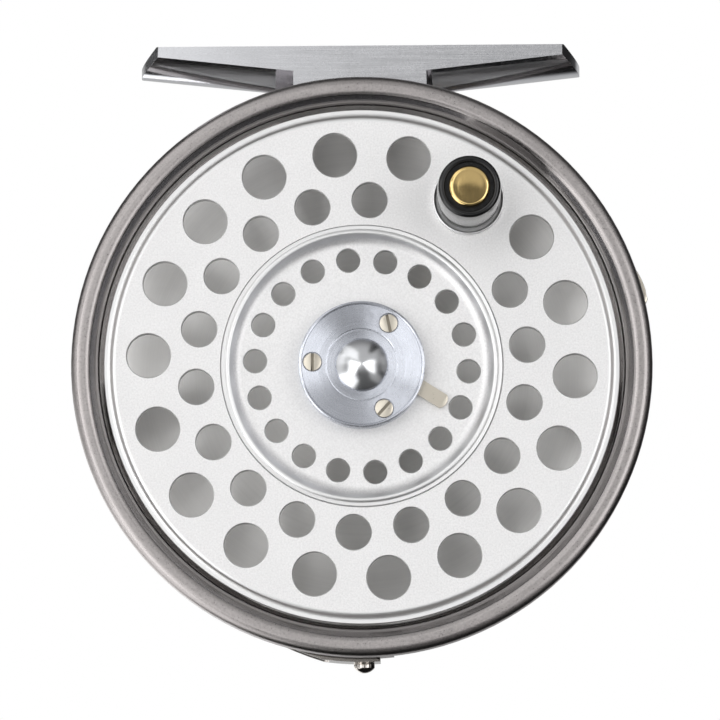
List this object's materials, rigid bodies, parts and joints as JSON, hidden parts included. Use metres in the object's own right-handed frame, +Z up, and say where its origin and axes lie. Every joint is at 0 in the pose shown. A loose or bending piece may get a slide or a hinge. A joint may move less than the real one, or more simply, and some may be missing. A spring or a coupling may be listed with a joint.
{
  "type": "fly reel",
  "caption": "Caged fly reel with a perforated lift-off spool, spring-and-pawl check, latch disc, line guard, black handle and a saddle foot for a rod.",
  "frame": {"origin": "middle of the foot's saddle, on the line where the rod's seat lies", "axes": "+X along the foot, to the right as the handle side is seen; -Y out of the handle side, along the spool's axis; +Z up, from the reel into the rod"},
  "size_m": [0.0827, 0.0436, 0.0898],
  "materials": {
    "frame": "satin gunmetal anodised",
    "foot": "linished and polished bare metal",
    "spool": "fine bead-blasted satin silver",
    "disc": "turned with fine circular lines",
    "dome": "mirror polished",
    "nickel_silver": "polished nickel silver",
    "steel": "ground steel",
    "spring_steel": "blued spring steel",
    "bronze": "turned bronze",
    "check_brass": "hard brass, machined",
    "cap_brass": "polished brass",
    "cup": "polished",
    "grip": "polished black"
  },
  "bodies": {
    "cage": {"frame": "frame", "foot": "foot", "foot_screws": "steel", "line_guard": "nickel_silver", "guard_screws": "nickel_silver", "spindle": "steel", "spindle_screws": "steel", "pawl_posts": "steel", "spring_studs": "steel", "pawl_spring_main": "spring_steel", "pawl_spring_spare": "spring_steel"},
    "hub": {"hub_bush": "bronze"},
    "spool_assembly": {"spool": "spool", "check_gear": "check_brass", "gear_screws": "steel", "latch_cover": "disc", "cover_screws": "nickel_silver", "hub_dome": "dome", "latch_pin": "steel", "latch_spring": "spring_steel", "handle_cup": "cup", "handle_pin": "cap_brass"},
    "handle": {"handle_grip": "grip"},
    "latch": {"latch_lever": "nickel_silver"},
    "main_pawl": {"pawl_main": "check_brass"},
    "spare_pawl": {"pawl_spare": "check_brass"},
    "regulator": {"regulator_button": "nickel_silver", "regulator_slide": "steel", "regulator_rivets": "nickel_silver"}
  },
  "joints": [
    {"name": "spool_off", "type": "slide", "parent": "cage", "child": "hub", "axis": [0, -1, 0], "range_m": [0, 0.03]},
    {"name": "spool_spin", "type": "hinge", "parent": "hub", "child": "spool_assembly", "pos_m": [0, -0.01195, -0.044], "axis": [0, -1, 0], "continuous": true},
    {"name": "handle_spin", "type": "hinge", "parent": "spool_assembly", "child": "handle", "pos_m": [0.01533, -0.02095, -0.02039], "axis": [0, -1, 0], "continuous": true},
    {"name": "latch_swing", "type": "hinge", "parent": "spool_assembly", "child": "latch", "pos_m": [-0.00351, -0.01155, -0.03964], "axis": [0, -1, 0], "range_deg": [0, 5], "stiffness_Nm_per_rad": 0.02, "springref_deg": -11.46, "deforming": ["latch_spring"]},
    {"name": "pawl_main_rock", "type": "hinge", "parent": "cage", "child": "main_pawl", "pos_m": [0, 0.00905, -0.0295], "axis": [0, -1, 0], "range_deg": [-3.5, 3.5], "stiffness_Nm_per_rad": 0.002, "deforming": ["pawl_spring_main"]},
    {"name": "pawl_spare_rock", "type": "hinge", "parent": "cage", "child": "spare_pawl", "pos_m": [-0.01256, 0.00905, -0.05125], "axis": [0, -1, 0], "range_deg": [-8, 8], "stiffness_Nm_per_rad": 0.002, "deforming": ["pawl_spring_spare"]},
    {"name": "regulator_travel", "type": "hinge", "parent": "cage", "child": "regulator", "pos_m": [0, 0.01005, -0.044], "axis": [0, -1, 0], "range_deg": [0, 5]}
  ]
}
